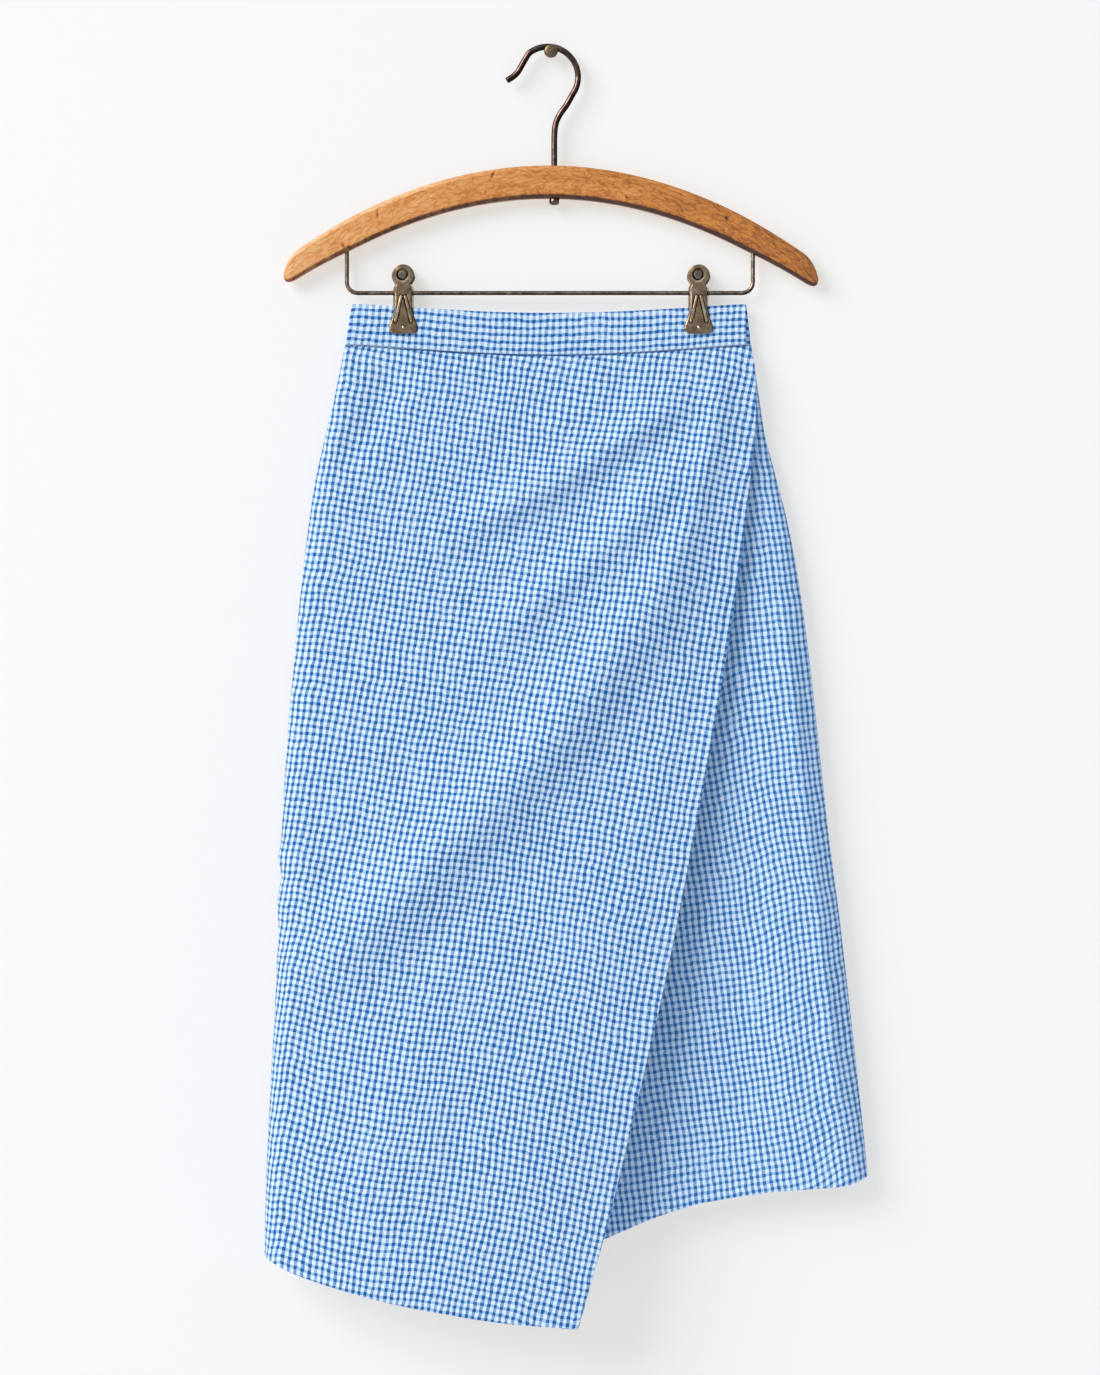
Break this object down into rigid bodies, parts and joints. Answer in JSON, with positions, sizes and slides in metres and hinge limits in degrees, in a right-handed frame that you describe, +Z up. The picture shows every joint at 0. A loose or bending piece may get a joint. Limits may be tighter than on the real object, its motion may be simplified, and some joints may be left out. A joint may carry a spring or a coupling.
{
  "type": "wrap skirt on a clip hanger",
  "caption": "Checked cotton wrap skirt with an asymmetric hem, hanging by clips from an arched wooden hanger on a wall pin.",
  "frame": {"origin": "where the underside of the hook's crown bears on the pin in the wall", "axes": "+Z up, -Y towards the front of the skirt, +X to the right seen from the front, so the wall is on the +Y side"},
  "size_m": [0.4944, 0.077, 1.0492],
  "materials": {
    "gingham_cloth": "soft woven cotton, small blue and white check, matt",
    "hanger_wood": "light brown stained wood, satin varnish",
    "hook_steel": "dark worn plating, satin",
    "clip_brass": "browned pressed metal, worn",
    "pin_brass": "dull brown head"
  },
  "bodies": {
    "root": {"waistband": "gingham_cloth", "front_overlap": "gingham_cloth", "front_under": "gingham_cloth", "back_panel": "gingham_cloth", "hanger_wood": "hanger_wood", "hanger_hook": "hook_steel", "hook_nut": "hook_steel", "hanger_bar": "hook_steel", "clip_left_front_jaw": "clip_brass", "clip_left_back_jaw": "clip_brass", "clip_left_spring": "hook_steel", "clip_left_rivet": "clip_brass", "clip_right_front_jaw": "clip_brass", "clip_right_back_jaw": "clip_brass", "clip_right_spring": "hook_steel", "clip_right_rivet": "clip_brass", "wall_pin": "pin_brass"}
  },
  "joints": []
}
